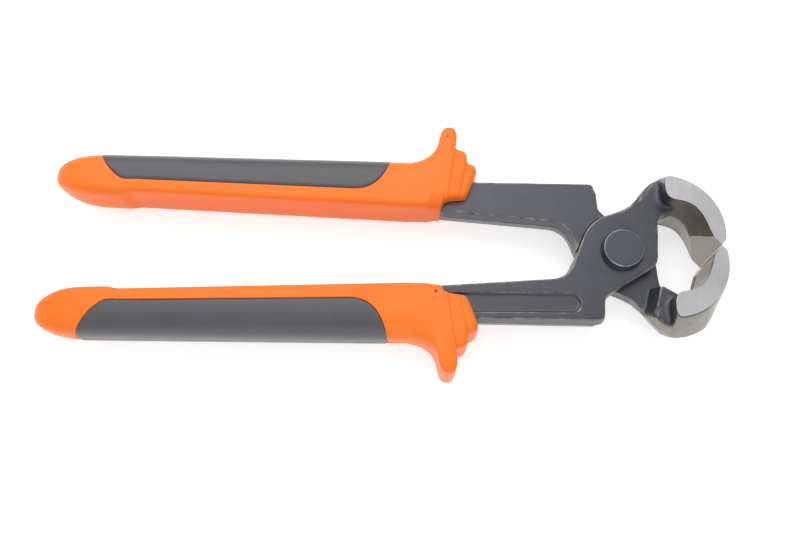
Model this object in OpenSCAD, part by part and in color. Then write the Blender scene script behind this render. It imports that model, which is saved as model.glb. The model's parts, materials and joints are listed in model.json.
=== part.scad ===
// End cutting nippers with lap-jointed forged levers and two-colour moulded grips.
// Millimetres. The tool lies on its side: +X points to the jaws, Y is across the handles and Z is up.
// Both levers are the same forging: the second is the first turned half a turn about the X axis.

/* [Overall] */
// Distance from the pivot to the rear end of the grips
handle_reach = 172.5; // [160:0.5:190]
// Distance from the pivot to the cutting edges
edge_reach = 27.5; // [26:0.25:30]

/* [Joint] */
// Thickness of the forging at the joint and along the handles
forging_t = 7.5; // [6.5:0.1:8.5]
// Radius of the round lap plates
joint_r = 12; // [11.5:0.1:12.6]
// Gap between the two lap plates
lap_gap = 0.1; // [0.05:0.01:0.2]
// Gap round a lap plate in the pocket of the other lever
pocket_gap = 0.3; // [0.2:0.05:0.4]
// Radius of the rivet's shank
rivet_r = 4; // [3.2:0.1:4.8]
// Radius of the rivet's heads
head_r = 5.8; // [5.2:0.1:6.6]
// Height of each rivet head above the forging
head_h = 2.5; // [1.5:0.1:3.2]
// Bevel round the top of a rivet head
head_bevel = 0.4; // [0.2:0.05:0.8]
// Running clearance of the rivet in its bores and under its head
rivet_gap = 0.05; // [0.02:0.01:0.08]

/* [Jaws] */
// Width of a jaw across its two polished sides, which is the length of its cutting edge
jaw_w = 20; // [17:0.5:22]
// Outer radius of a polished jaw side
jaw_r = 17.3; // [16:0.1:18]
// Height of the centre of that radius above the cutting line
jaw_rise = 4.7; // [4:0.1:5.2]
// How far the cutting edge is set back from the front of the jaw
edge_setback = 1.6; // [1.2:0.1:2]
// How far the forged back of a jaw swells out at mid width
jaw_bulge = 4; // [2.5:0.1:4.6]
// How far the parting ridge stands into the jaw opening
jaw_ridge = 2; // [0.8:0.1:2.4]
// Gap left between the closed cutting edges
edge_gap = 0.1; // [0.05:0.01:0.3]
// Angle of the ground bevel inside a cutting edge
inner_bevel_a = 50; // [45:1:54]
// Angle of the ground chamfer outside a cutting edge
outer_bevel_a = 49; // [40:1:58]
// Length of the ground bevel inside a cutting edge
inner_bevel_l = 7.8; // [7.2:0.1:8.2]

/* [Handle bars] */
// Distance from the centre line to the outer edge of a handle bar
bar_out = 21.7; // [21:0.1:23]
// Width of a handle bar where it enters the grip
bar_w = 10.1; // [9:0.1:11]
// Distance from the pivot back to the shoulder
shoulder_x = 6.1; // [5.6:0.1:6.8]
// How far the shoulder is set back beside the other lever
shoulder_step = 1.1; // [0.8:0.1:1.6]
// Corner radius of the shoulder
shoulder_r = 1.6; // [0.8:0.1:2]
// Radius of the crotch between the joint and a handle bar
crotch_r = 7; // [5:0.5:9]
// Length of the bar inside the grip, measured from the pivot
tang_reach = 160; // [150:1:162]
// Width of the bar at its rear end
tang_w = 6.5; // [5:0.5:7]
// Width of the recessed panel on a handle bar
panel_w = 5.4; // [4:0.1:6]
// Depth of the recessed panel
panel_d = 0.6; // [0.3:0.1:1]

/* [Grips] */
// Distance from the pivot to the front end of a grip's inner wall
grip_front = 54; // [52:0.5:56]
// Thickness of a grip
grip_t = 15; // [14:0.5:16]
// Distance from the centre line to the outer side of a grip at its rear
grip_out_rear = 28.9; // [28.4:0.1:30]
// Distance from the centre line to the outer side of a grip at its front
grip_out_front = 28; // [27.4:0.1:29]
// Distance from the centre line to the inner wall of a grip at its rear
grip_in_rear = 16.4; // [15.6:0.1:16.8]
// Distance from the centre line to the inner wall of a grip at its front
grip_in_front = 11.6; // [11.2:0.1:11.8]
// Length of the rounded end of a grip
pommel_l = 16; // [12:0.5:18]
// How far the rounded end stands inwards from the grip's inner wall
pommel_step = 1.2; // [0.6:0.1:1.8]
// Thickness of the guard and collar
guard_t = 16; // [15.5:0.1:17]
// Distance from the centre line to the tip of the guard
guard_out = 38.6; // [36:0.2:40]
// Clearance of a grip on its handle bar
grip_gap = 0.05; // [0.02:0.01:0.1]
// Thickness of the soft inlay
inlay_t = 1.6; // [1:0.1:1.8]

/* [Hidden] */
$fn = 64;

// Overrun of every cut past the surface that it opens
over = 1;
// Half thicknesses and derived places
half_t = forging_t / 2;
half_w = jaw_w / 2;
pocket_r = joint_r + pocket_gap;
jaw_x = edge_reach + edge_setback - jaw_r;
bar_in = bar_out - bar_w;
grip_l = handle_reach - grip_front;

// Directions, in degrees from +X, at which the jaw's back and the crotch leave the lap plate
back_a = 107;
crotch_a = 158;
// Direction of the stop at the foot of the shoulder
stop_a = 118.5;
// Steps along the rounds of the lap plate and of its pocket
plate_steps = 17;
pocket_steps = 12;
// Rounding of the set-back shoulder: direction in which it starts, and its steps
corner_start_a = -80;
corner_steps = 6;
// Lean of the wall that rises from the lap plate to the jaw's root, in plan and in height
root_turn_a = 15;
root_lean_a = 30;
// Distance of that wall from the pivot
root_x = 0.91 * joint_r;

// Swelling of the jaw's back at mid width: angle about the jaw's centre and share of jaw_bulge
bulge_shares = [[-20, 0.3], [0, 0.33], [25, 0.42], [38, 0.5], [57, 1], [72, 1], [88, 0.86]];
// Inner outline of a polished side: angle and share of jaw_r
inside_shares = [
    [-20, 1.02], [-10, 0.8], [1, 0.735], [14, 0.705], [28, 0.692], [41, 0.678],
    [53, 0.643], [65, 0.6], [74, 0.584], [80, 0.605], [88, 0.665]
];
// Height of the parting ridge inside the jaw: angle and share of jaw_ridge
ridge_shares = [[-20, 1], [8, 1], [25, 0.85], [40, 0.45], [60, 0.2], [70, 0], [88, 0]];
jaw_start_a = 87;
jaw_end_a = -17;
jaw_rings = 26;

// Vector helpers
function unit(v) = v / norm(v);
function polar(r, a) = [r * cos(a), r * sin(a)];
function turned(v, a) = [v.x * cos(a) - v.y * sin(a), v.x * sin(a) + v.y * cos(a)];

// Points of one corner q between p and s, rounded to radius r
function corner(p, q, s, r) =
    r == 0 ? [q] :
    let (
        u = unit(p - q),
        v = unit(s - q),
        half = acos(u * v) / 2,
        reach = r / tan(half),
        c = q + unit(u + v) * r / sin(half),
        a = q + u * reach - c,
        b = q + v * reach - c,
        turn = sign(cross(a, b)) * (180 - 2 * half),
        steps = max(2, ceil(abs(turn) / 12))
    )
    [for (i = [0:steps]) c + turned(a, turn * i / steps)];

// A closed outline from corners given as [x, y, radius]
function rounded(rows) =
    let (n = len(rows))
    [for (i = [0:n - 1])
        let (a = rows[(i + n - 1) % n], b = rows[i], c = rows[(i + 1) % n])
        each corner([a.x, a.y], [b.x, b.y], [c.x, c.y], b[2])];

// A closed solid through a list of rings that have as many points each
module skin(rings) {
    n = len(rings[0]);
    last = (len(rings) - 1) * n;
    polyhedron(
        points = [for (r = rings) each r],
        faces = [
            for (i = [0:len(rings) - 2], j = [0:n - 1])
                let (a = i * n + j, b = i * n + (j + 1) % n)
                each [[a, b + n, b], [a, a + n, b + n]],
            for (j = [1:n - 2]) [0, j, j + 1],
            for (j = [1:n - 2]) [last, last + j + 1, last + j]
        ]
    );
}

// Handle bar and tang, seen from above: grow widens it for the grip's cavity
function bar_edge(grow) =
    let (
        mouth_x = -0.98 * grip_front,
        neck_x = -1.12 * grip_front,
        rear_out = bar_out + 0.5 * tang_w
    )
    [
        [-tang_reach - grow, -rear_out + tang_w + grow, 0],
        [-tang_reach - grow, -rear_out - grow, 0],
        [mouth_x, -bar_out - grow, 0]
    ];

// Inner edge of the bar, from the crotch to its rear
function bar_inner(grow) = [
    [-0.98 * grip_front, -bar_in + grow, 0],
    [-1.12 * grip_front, -bar_in - 0.15 * bar_w + grow, 0]
];

// Outline of a whole lever, seen from above
function lever_edge() =
    let (
        crotch = polar(joint_r, crotch_a),
        // The crotch line leaves the plate as a tangent and meets the bar's inner edge
        line = polar(1, crotch_a + 90),
        crotch_y = -0.4 * bar_out,
        crotch_p = crotch + line * (crotch_y - crotch.y) / line.y
    )
    rounded([
        each bar_edge(0),
        [-shoulder_x, -bar_out, shoulder_r],
        [-0.93 * shoulder_x, -1.19 * joint_r, 0.25 * joint_r],
        [0.87 * joint_r, -0.36 * joint_r, 0.45 * joint_r],
        [0.955 * joint_r, jaw_rise + 0.35 * jaw_r, 0.12 * jaw_r],
        [jaw_x + 0.3 * jaw_r, jaw_rise + 0.54 * jaw_r, 0],
        [jaw_x + 0.3 * jaw_r, jaw_rise + 0.8 * jaw_r, 0],
        [jaw_x + 0.08 * jaw_r, jaw_rise + 1.1 * jaw_r, 0],
        [jaw_x - 0.09 * jaw_r, jaw_rise + 1.055 * jaw_r, 0.3 * jaw_r],
        [0.23 * joint_r, 1.14 * joint_r, 0.55 * joint_r],
        for (i = [0:plate_steps])
            let (p = polar(joint_r, back_a + (crotch_a - back_a) * i / plate_steps)) [p.x, p.y, 0],
        [crotch_p.x, crotch_p.y, crotch_r],
        each bar_inner(0)
    ]);

// A flat forging with square sides, centred on the lap plane
module forging(edge, half)
    translate([0, 0, -half])
        linear_extrude(2 * half)
            polygon(edge);

// One jaw: a drafted arc whose back and inside both swell towards mid width
function jaw_ring(a) =
    let (
        inner = jaw_r * lookup(a, inside_shares),
        back = jaw_r + jaw_bulge * lookup(a, bulge_shares),
        ridge = inner - jaw_ridge * lookup(a, ridge_shares),
        rows = [
            [back, 0], [jaw_r, half_w], [inner, half_w],
            [ridge, 0], [inner, -half_w], [jaw_r, -half_w]
        ]
    )
    [for (r = rows) [jaw_x + r[0] * cos(a), jaw_rise + r[0] * sin(a), r[1]]];

module jaw_block()
    skin([
        for (i = [0:jaw_rings - 1])
            jaw_ring(jaw_start_a + (jaw_end_a - jaw_start_a) * i / (jaw_rings - 1))
    ]);

// The wedge that grinding takes off on both sides of the cutting edge
module edge_cut() {
    edge = [edge_reach, edge_gap / 2];
    inner = edge + polar(inner_bevel_l, 180 - inner_bevel_a);
    outer = edge + polar(inner_bevel_l, outer_bevel_a);
    translate([0, 0, -half_w - over])
        linear_extrude(jaw_w + 2 * over)
            polygon([edge, outer, [outer.x, -joint_r], [inner.x, -joint_r], inner]);
}

// Room in the lower half of the forging for the other lever's lap plate and for its swing
module lap_pocket() {
    depth = half_t + over;
    top = lap_gap / 2;
    right_x = 1.04 * joint_r;
    neck_y = jaw_rise + 0.35 * jaw_r;
    // Corner of the shoulder that is set back beside the other lever, rounded like the other one
    back_x = -shoulder_x - shoulder_step;
    corner_c = [back_x - shoulder_r, shoulder_r - bar_out];
    // The other lever's crotch line runs on as a tangent to its plate
    flat_end = polar(pocket_r, -crotch_a) + pocket_r * polar(1, -crotch_a - 90);
    translate([0, 0, top - depth])
        linear_extrude(depth)
            polygon([
                [corner_c.x + shoulder_r * cos(corner_start_a), -bar_out - over],
                for (i = [0:corner_steps])
                    corner_c + polar(shoulder_r, corner_start_a * (1 - i / corner_steps)),
                // From here the shoulder runs down to a stop that the other jaw's back meets
                [back_x, -0.75 * bar_out],
                for (i = [0:pocket_steps])
                    polar(pocket_r, -stop_a - (crotch_a - stop_a) * i / pocket_steps),
                flat_end,
                [0, neck_y],
                [right_x, neck_y],
                [right_x, -bar_out - over]
            ]);
    // The leaning wall at the jaw's root
    rotate([0, 0, root_turn_a])
        translate([root_x, 0, top])
            rotate([90, 0, 0])
                translate([0, 0, -3 * joint_r])
                    linear_extrude(3 * joint_r)
                        polygon([
                            [0, 0], [depth * tan(root_lean_a), -depth],
                            [-1.8 * joint_r, -depth], [-1.8 * joint_r, 0]
                        ]);
}

// Long slot with one round end, pressed into the handle bar's face and running under the collar
module panel() {
    y = -0.76 * bar_out;
    end_x = -2.6 * shoulder_x;
    len = grip_front + end_x;
    translate([end_x, y, half_t - panel_d]) {
        cylinder(d = panel_w, h = panel_d + over);
        rotate([0, 0, 180 + 0.6])
            linear_extrude(panel_d + over)
                translate([0, -panel_w / 2])
                    square([len, panel_w]);
    }
}

module lever() {
    difference() {
        union() {
            difference() {
                forging(lever_edge(), half_t);
                lap_pocket();
            }
            jaw_block();
        }
        translate([0, 0, -half_t - over])
            cylinder(r = rivet_r + rivet_gap, h = forging_t + 2 * over);
        edge_cut();
        panel();
    }
}

// Rivet with a flat head on each side: it is fast in one lever and turns in the other
module rivet() {
    low = half_t + rivet_gap;
    rotate_extrude()
        polygon([
            [0, -low - head_h], [head_r - head_bevel, -low - head_h],
            [head_r, -low - head_h + head_bevel], [head_r, -low], [rivet_r, -low],
            [rivet_r, half_t], [head_r, half_t], [head_r, half_t + head_h - head_bevel],
            [head_r - head_bevel, half_t + head_h], [0, half_t + head_h]
        ]);
}

// Grip section: the outer side is a full oval, the inner side nearly flat with tight corners
crown_share = 0.36;
round_pow = 0.87;
flat_pow = 0.3;
// Stations along the grip, as shares of its length, and the inlay's two ends
inlay_rear_share = 0.122;
inlay_front_share = 0.87;
inlay_end_l = 10.5;
inlay_end_pow = 2.1;
inlay_min_a = 12;
inlay_max_a = 90;
inlay_points = 12;
plain_points = 20;
ring_points = inlay_points + plain_points;

// The guard and the stepped collar as sections from behind the guard to the front of the collar.
// A row holds the place as a share of grip_front, the rise of the outer side as a share of the guard's rise,
// the inner side as a share of grip_in_front, the thickness as a share of guard_t, the powers of the outer
// and the inner half, and the lean: how far the section shifts along X for each step along Y
guard_shares = [
    [1.122, 0.07, 1.04, 0.938, 0.8, 0.3, 0.03],
    [1.074, 0.18, 1.03, 0.944, 0.66, 0.3, 0.07],
    [1.051, 0.3, 1.02, 0.95, 0.52, 0.3, 0.11],
    [1.038, 0.49, 1.017, 0.963, 0.4, 0.3, 0.135],
    [1.0335, 0.755, 1.013, 0.981, 0.32, 0.3, 0.14],
    [1.023, 0.94, 1.009, 0.996, 0.28, 0.3, 0.145],
    [1.0085, 0.99, 1.009, 1, 0.27, 0.3, 0.147],
    [0.991, 1, 1.005, 1, 0.26, 0.3, 0.148],
    [0.968, 0.97, 1.005, 1, 0.26, 0.3, 0.15],
    [0.952, 0.88, 1.19, 0.996, 0.27, 0.3, 0.15],
    [0.94, 0.71, 1.233, 0.98, 0.29, 0.3, 0.15],
    [0.936, 0.395, 1.241, 0.955, 0.32, 0.3, 0.15],
    [0.932, 0.34, 1.25, 0.938, 0.33, 0.3, 0.155],
    [0.892, 0.255, 1.319, 0.931, 0.34, 0.3, 0.19],
    [0.8725, 0.15, 1.345, 0.913, 0.36, 0.3, 0.2],
    [0.865, 0, 1.353, 0.863, 0.4, 0.3, 0.2],
    [0.859, -0.075, 1.358, 0.831, 0.42, 0.3, 0.22],
    [0.824, -0.16, 1.375, 0.825, 0.44, 0.3, 0.32],
    [0.804, -0.245, 1.397, 0.785, 0.5, 0.35, 0.36],
    [0.795, -0.32, 1.448, 0.7, 0.56, 0.4, 0.37]
];

function swell(s) = s >= pommel_l ? 1 : sqrt(1 - pow((pommel_l - s) / pommel_l, 2));
function grip_inner(s) =
    let (
        wall = grip_in_rear + (grip_in_front - grip_in_rear) * s / grip_l,
        step_shares = [[0, 1], [1.35, 1], [1.55, 0]]
    )
    wall - pommel_step * lookup(s / pommel_l, step_shares);
function grip_outer(s) = grip_out_rear + (grip_out_front - grip_out_rear) * s / grip_l;

// A signed power, for the oval's corners
function spow(v, e) = sign(v) * pow(abs(v), e);

// Point [y, z] of a section at angle a from its outer side
function oval(y_in, y_out, half, powers, a) =
    let (
        crown = y_in + crown_share * (y_out - y_in),
        outer = cos(a) >= 0,
        e = outer ? powers[0] : powers[1]
    )
    [crown + (outer ? y_out - crown : crown - y_in) * spow(cos(a), e), half * spow(sin(a), e)];

// Point of the grip's surface at s from its rear end; inset moves it inwards
function grip_point(s, a, inset) =
    let (
        y_in = grip_inner(s),
        y_out = grip_outer(s),
        mid = (y_in + y_out) / 2,
        p = oval(y_in + inset, y_out - inset, grip_t / 2 - inset, [round_pow, flat_pow], a)
    )
    [-handle_reach + s, mid + (p[0] - mid) * swell(s), p[1] * swell(s)];

// Point of the guard and collar on the section that a row of guard_shares gives
function guard_point(row, a) =
    let (
        y_out = grip_out_front + (guard_out - grip_out_front) * row[1],
        p = oval(grip_in_front * row[2], y_out, guard_t / 2 * row[3], [row[4], row[5]], a)
    )
    [-grip_front * row[0] + row[6] * (p[0] - 0.875 * grip_out_front), p[0], p[1]];

// Half angle that the inlay spans at s: it closes at both ends in a full curve
inlay_s0 = inlay_rear_share * grip_l;
inlay_s1 = inlay_front_share * grip_l;
function inlay_a(s) =
    let (
        near = min(s - inlay_s0, inlay_s1 - s),
        t = max(0, min(1, 1 - near / inlay_end_l))
    )
    max(inlay_min_a, inlay_max_a * pow(1 - pow(t, inlay_end_pow), 1 / inlay_end_pow));

// Angle of point j on a ring: the inlay's stretch first, then the plain stretch round the back.
// evenness runs from 0, points that follow the inlay's edges, to 1, points spaced alike
function ring_angle(j, half, evenness) =
    let (
        plain_a = (360 - 2 * half) / plain_points,
        own = j <= inlay_points
            ? half * (2 * j / inlay_points - 1)
            : half + plain_a * (j - inlay_points),
        even = 360 * (j - inlay_points / 2) / ring_points
    )
    own + (even - own) * evenness;

// Stations: the rounded end, the inlay, and the stretch up to the guard
pommel_steps = [for (a = [12:13:77]) inlay_s0 * (1 - cos(a))];
inlay_turns = [for (a = [0:11:88]) a];
inlay_steps = [
    for (a = inlay_turns) inlay_s0 + inlay_end_l * (1 - cos(a)),
    for (i = [1:7])
        inlay_s0 + inlay_end_l + (inlay_s1 - inlay_s0 - 2 * inlay_end_l) * i / 8,
    for (i = [len(inlay_turns) - 1:-1:0])
        inlay_s1 - inlay_end_l * (1 - cos(inlay_turns[i]))
];
guard_s = handle_reach - guard_shares[0][0] * grip_front;

function grip_ring(s, evenness) = [
    for (j = [0:ring_points - 1]) grip_point(s, ring_angle(j, inlay_a(s), evenness), 0)
];
function guard_ring(row) = [
    for (j = [0:ring_points - 1]) guard_point(row, ring_angle(j, inlay_min_a, 1))
];
function inlay_arc(s, inset) = [
    for (j = [0:inlay_points]) grip_point(s, ring_angle(j, inlay_a(s), 0), inset)
];

// Closed solid of the inlay: its outer face, its floor and the rim between them
module inlay_solid()
    skin([
        for (s = inlay_steps)
            concat(inlay_arc(s, 0), [for (i = [inlay_points:-1:0]) inlay_arc(s, inlay_t)[i]])
    ]);

// Closed solid of the grip's outside and its guard, with the inlay's bed sunk into it
module grip_shell() {
    n = ring_points;
    m = inlay_points + 1;
    first = len(pommel_steps);
    last = first + len(inlay_steps) - 1;
    outside = [
        for (i = [0:first - 1]) grip_ring(pommel_steps[i], 1 - (i + 1) / (first + 1)),
        for (s = inlay_steps) grip_ring(s, 0),
        for (i = [1:2]) grip_ring(inlay_s1 + (guard_s - inlay_s1) * i / 3, i / 3),
        for (row = guard_shares) guard_ring(row)
    ];
    rings = len(outside);
    front = outside[rings - 1];
    beds = rings * n;
    nose = beds + len(inlay_steps) * m;
    points = [
        for (ring = outside) each ring,
        for (s = inlay_steps) each inlay_arc(s, inlay_t),
        [-handle_reach, (grip_inner(0) + grip_outer(0)) / 2, 0],
        (front[inlay_points / 2] + front[(inlay_points + ring_points) / 2]) / 2
    ];
    faces = [
        for (j = [0:n - 1]) [nose, j, (j + 1) % n],
        for (i = [0:rings - 2], j = [0:n - 1])
            let (
                in_bed = i >= first && i < last && j < inlay_points,
                base = in_bed ? beds + (i - first) * m : i * n,
                step = in_bed ? m : n,
                a = base + j,
                b = in_bed ? a + 1 : base + (j + 1) % n
            )
            each in_bed
                ? [[a, a + step, b], [b, a + step, b + step]]
                : [[a, b + step, b], [a, a + step, b + step]],
        // Rim of the bed along both sides
        for (i = [first:last - 1])
            let (a = i * n, c = beds + (i - first) * m, d = a + inlay_points, e = c + inlay_points)
            each [
                [a, a + n, c], [c, a + n, c + m],
                [e, e + m, d], [d, e + m, d + n]
            ],
        // Rim of the bed at both ends
        for (j = [0:inlay_points - 1])
            let (a = first * n + j, c = beds + j, d = last * n + j, e = beds + (last - first) * m + j)
            each [
                [a, c + 1, a + 1], [a, c, c + 1],
                [d, e + 1, e], [d, d + 1, e + 1]
            ],
        for (j = [0:n - 1])
            let (a = (rings - 1) * n) [nose + 1, a + (j + 1) % n, a + j]
    ];
    polyhedron(points = points, faces = faces);
}

module grip() {
    difference() {
        grip_shell();
        rotate([180, 0, 0])
            forging(rounded([
                each bar_inner(grip_gap),
                each bar_edge(grip_gap),
                [-0.5 * grip_front, -bar_out - grip_gap, 0],
                [-0.5 * grip_front, -bar_in + grip_gap, 0]
            ]), half_t + grip_gap);
    }
}

// Front of the jaw at mid width, which is the front of the whole tool
jaw_front = max([
    for (i = [0:jaw_rings - 1])
        jaw_ring(jaw_start_a + (jaw_end_a - jaw_start_a) * i / (jaw_rings - 1))[0].x
]);

// Puts a piece from the pivot's frame into the part's frame: middle of the box, lying on z = 0
module placed()
    translate([(handle_reach - jaw_front) / 2, 0, half_w])
        children();

module upper_jaw_lever() color([0.34, 0.35, 0.38]) placed() lever();
module lower_jaw_lever() color([0.32, 0.33, 0.36]) placed() rotate([180, 0, 0]) lever();
module joint_rivet() color([0.4, 0.4, 0.43]) placed() rivet();
module upper_grip() color([1, 0.5, 0.24]) placed() grip();
module lower_grip() color([1, 0.5, 0.24]) placed() rotate([180, 0, 0]) grip();
module upper_grip_inlay() color([0.36, 0.36, 0.38]) placed() inlay_solid();
module lower_grip_inlay() color([0.36, 0.36, 0.38]) placed() rotate([180, 0, 0]) inlay_solid();

upper_jaw_lever();
lower_jaw_lever();
joint_rivet();
upper_grip();
lower_grip();
upper_grip_inlay();
lower_grip_inlay();
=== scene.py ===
# End cutting nippers: forged lap-jointed levers with ground jaws, a flat-headed rivet
# and moulded two-colour grips.
# Shapes are worked out in millimetres from the pivot, with z = 0 on the lap plane,
# and then placed in metres.
# A lever or grip is drawn once, as the upper jaw's lever or the upper grip,
# and turned over for the other.
import json
import math
import bmesh
import bpy
import numpy as np
from mathutils import Matrix, Vector

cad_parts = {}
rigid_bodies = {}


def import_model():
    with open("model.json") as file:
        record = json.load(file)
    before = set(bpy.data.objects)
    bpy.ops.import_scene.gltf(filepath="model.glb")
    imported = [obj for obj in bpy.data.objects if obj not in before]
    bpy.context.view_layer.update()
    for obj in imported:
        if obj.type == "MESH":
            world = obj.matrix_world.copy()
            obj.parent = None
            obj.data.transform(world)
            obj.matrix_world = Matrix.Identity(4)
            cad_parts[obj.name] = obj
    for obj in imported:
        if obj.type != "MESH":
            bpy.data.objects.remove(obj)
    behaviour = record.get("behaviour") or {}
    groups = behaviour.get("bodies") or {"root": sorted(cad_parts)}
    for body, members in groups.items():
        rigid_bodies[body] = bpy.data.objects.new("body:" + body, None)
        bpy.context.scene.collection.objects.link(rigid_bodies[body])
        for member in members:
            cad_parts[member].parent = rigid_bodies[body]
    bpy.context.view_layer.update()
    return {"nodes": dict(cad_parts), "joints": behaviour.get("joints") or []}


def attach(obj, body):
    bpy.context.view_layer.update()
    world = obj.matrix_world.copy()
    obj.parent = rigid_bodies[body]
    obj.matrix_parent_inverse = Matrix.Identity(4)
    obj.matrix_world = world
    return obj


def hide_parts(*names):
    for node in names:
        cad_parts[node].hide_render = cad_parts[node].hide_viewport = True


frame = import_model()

MM = 0.001
JOINT = frame["joints"][0]
PIVOT = np.array(JOINT["pos_m"])
UPPER_JAW_SIDE = JOINT["parent"]
LOWER_JAW_SIDE = JOINT["child"]

# Forging, in millimetres and degrees
HALF_T = 3.75  # half the thickness of the handle bar and the lap joint
HALF_W = 10.0  # half the width of the jaw, between its ground sides
COLLAR_X = -52.0  # the handle bar is covered behind this
HIDDEN_X = -60.0  # and ends here, inside the grip
JAW_X = 11.8  # centre of the jaw's arc
JAW_Y = 4.7
JAW_R = 17.3
JAW_BULGE = 4.0  # swelling of its back
JAW_RIDGE = 2.0  # height of the parting ridge on its inside
JAW_START_A = 87  # its arc runs from the root to just past the cutting edge
JAW_END_A = -19
EDGE_X = 27.5  # the cutting edge
EDGE_Y = 0.05
INNER_BEVEL_A = 50
OUTER_BEVEL_A = 49

# Jaw blank, before grinding
GRINDING = 2.2  # how far it stands past its ground sides
OUTER_CORNER = 1.0  # rounding of its start, on the back and on the inside
INNER_CORNER = 2.0
CORNER_TURN = 8  # degrees of the arc that hold these corners
CORNER_RINGS = 12
BLANK_RINGS = 84
BLANK_ROWS = 47
BULGE_POW = 1.2  # how the back falls off from mid width to the sides

# Skin of the forging
VOXEL = 0.2
SKIN_ROUNDS = 6  # evening out after the remesh
WELD = 1e-4
CUT_MARGIN = 0.3  # the solid is cut this far past the lap joint's faces
DRAFT = 0.42  # swelling of the sides at mid height
DRAFT_INSET = 0.12  # they start this far inside the solid's upright sides
FLASH = 0.1  # height and width of the flash line
FLASH_W = 0.3
LAP_SWELL = 0.06  # how much the lap plate and its pocket close up on each other
NECK_FILL = 0.55  # fullness of the neck between the lap plate and the jaw
NECK_AT = (3, 13.5)
NECK_REACH = (2.2, 2.5)
ROOT_ROUNDS = 80  # how far the corners at the jaw's root are evened out
BACK_ROUNDING = 1.3

# Where these act: a share rises, or falls, between each pair of limits
SIDE_UPRIGHT = (0.55, 0.85)
FORGED_FROM_PIVOT = (13.2, 15.0)
JAW_FADE_X = (11.5, 13.5)
COLLAR_FADE = 3  # just behind the collar
LAP_RISE = (11, 11.6)
LAP_FALL = (13, 13.6)
ROOT_Y = (9, 11)
ROOT_X = (7, 9)
ROOT_FROM_PIVOT = (14.8, 16.2)
BACK_FROM_JAW = (12.2, 13.6)
BACK_X = (4, 6)
BACK_END_X = (13.5, 15)

# Finish of the jaw
GRIND_BLOCK = ((5, -12), (40, -12), (40, 32), (5, 32))  # outline of what is ground off at the sides
WEDGE_HALF_W = 6  # of what is ground off at the cutting edge
WEDGE_LOW = -12
STEEP = 0.8  # faces that turn further towards the ground sides keep the coat
BELT_X = 6.8  # the belt cleans the back beyond these places along X and Y
BELT_LOW_Y = -1
BELT_FROM_MIDDLE = 0.76  # as a share of the arc's radius
BELT_REACH = 9.2  # it misses what lies further out to the sides
INSIDE_X = 2  # the inside starts this far in front of the arc's centre
SCALE_LOW_Z = -1.3  # the brown scale inside the jaw ends just past the ridge
WEAR_HIGHLIGHT_ROUNDS = 3  # evening out that shows how proud an edge stands
WEAR_HIGHLIGHT_BLUR = 5
WEAR_HIGHLIGHT_FULL = 0.03  # an edge as proud as this gets the most wear and the brightest painted highlight

# Rivet
HEAD_TOP = 6.25
HEAD_R = 5.85
HEAD_FOOT_R = 6.35
RIVET_SIDES = 128
WORN_HIGHLIT_R = 5.7  # the rim of the head, lighter with wear and a painted highlight
WORN_HIGHLIT_W = 0.14
WORN_HIGHLIT_DEPTH = 0.4

# Grip
GRIP_END = -172.5
GRIP_L = 118.5
POMMEL_L = 16.0
POMMEL_POW = 2.3  # bluntness of the pommel's end: 2 is an ellipse
POMMEL_STEP = 1.2  # how far the pommel stands out on the inner side
STEP_START = 1.32 * POMMEL_L
STEP_END = 1.6 * POMMEL_L
POMMEL_TURNS = (1.5, 87)  # the pommel's rings crowd towards its end, as turns of a circle do
POMMEL_RINGS = 44
GRIP_OUTER = (28.9, 28.0)  # at the rear and at the front
GRIP_INNER = (16.4, 11.6)
GRIP_HALF_T = 7.5
OUTER_POW = 0.66  # squareness of the plain grip's outer half: 1 is round
INNER_POW = 0.42  # and of its inner half along the pommel
INNER_POW_DROP = 0.22  # how much squarer the handle is there
TIP_ROUNDER = 0.3  # and how much rounder the pommel's end
TIP_L = 0.6 * POMMEL_L
CROWN = 0.36  # where the section is thickest, as a share of its width from the inner side
LEAN_Y = 24.5  # a leaning section keeps its place along X here
PLAIN_X = (-68, -66, -64)  # places where the plain grip leads into the guard
GUARD_RINGS = 190
OUTLINE_SAMPLES = 4000

# Inlay
INLAY_REAR = -159.2
INLAY_FRONT = -69.1
INLAY_END_L = 11.5  # length of its curved ends
INLAY_REAR_POW = 1.7  # fullness of their curves: 2 is an ellipse
INLAY_FRONT_POW = 2.3
INLAY_MIN_HALF_W = 1.2  # its blunt tips are twice as wide as this
INLAY_EXTRA = 1.1  # how far its edges run past the section's thickest place, towards the inner side
INLAY_PROUD = 0.16
INLAY_DROP = 0.3  # its edge lies this deep, after a roll of the next width
INLAY_ROLL = 0.28
INLAY_GAP = 0.05  # between its underside and the bed
BED_DEPTH = 0.9
GROOVE_W = 0.2
GROOVE_DEPTH = 0.3
RIM_STEP = 0.05  # tiny step along X between the rings on both sides of a rim
END_RINGS = 34
MIDDLE_RINGS = 100
BED_POINTS = 73
PLAIN_POINTS = 131
ANGLE_SAMPLES = 2401


# Helpers
def smoothstep(lo, hi, v):
    t = np.clip((np.asarray(v, float) - lo) / (hi - lo), 0, 1)
    return t * t * (3 - 2 * t)


def unit(vectors):
    return vectors / np.maximum(np.linalg.norm(vectors, axis=-1, keepdims=True), 1e-9)


def placed(points, flip=False):
    """Millimetres from the pivot as a place in metres; flip turns the piece over for the other lever."""
    p = np.array(points, float)
    if flip:
        p = p * (1, -1, -1)
    return p * MM + PIVOT


def pivot_frame(points, flip):
    """The way back: a place in metres as millimetres from the pivot."""
    p = (np.array(points, float) - PIVOT) / MM
    return p * (1, -1, -1) if flip else p


def recalc_normals(mesh):
    bm = bmesh.new()
    bm.from_mesh(mesh)
    bmesh.ops.recalc_face_normals(bm, faces=bm.faces)
    bm.to_mesh(mesh)
    bm.free()


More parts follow.
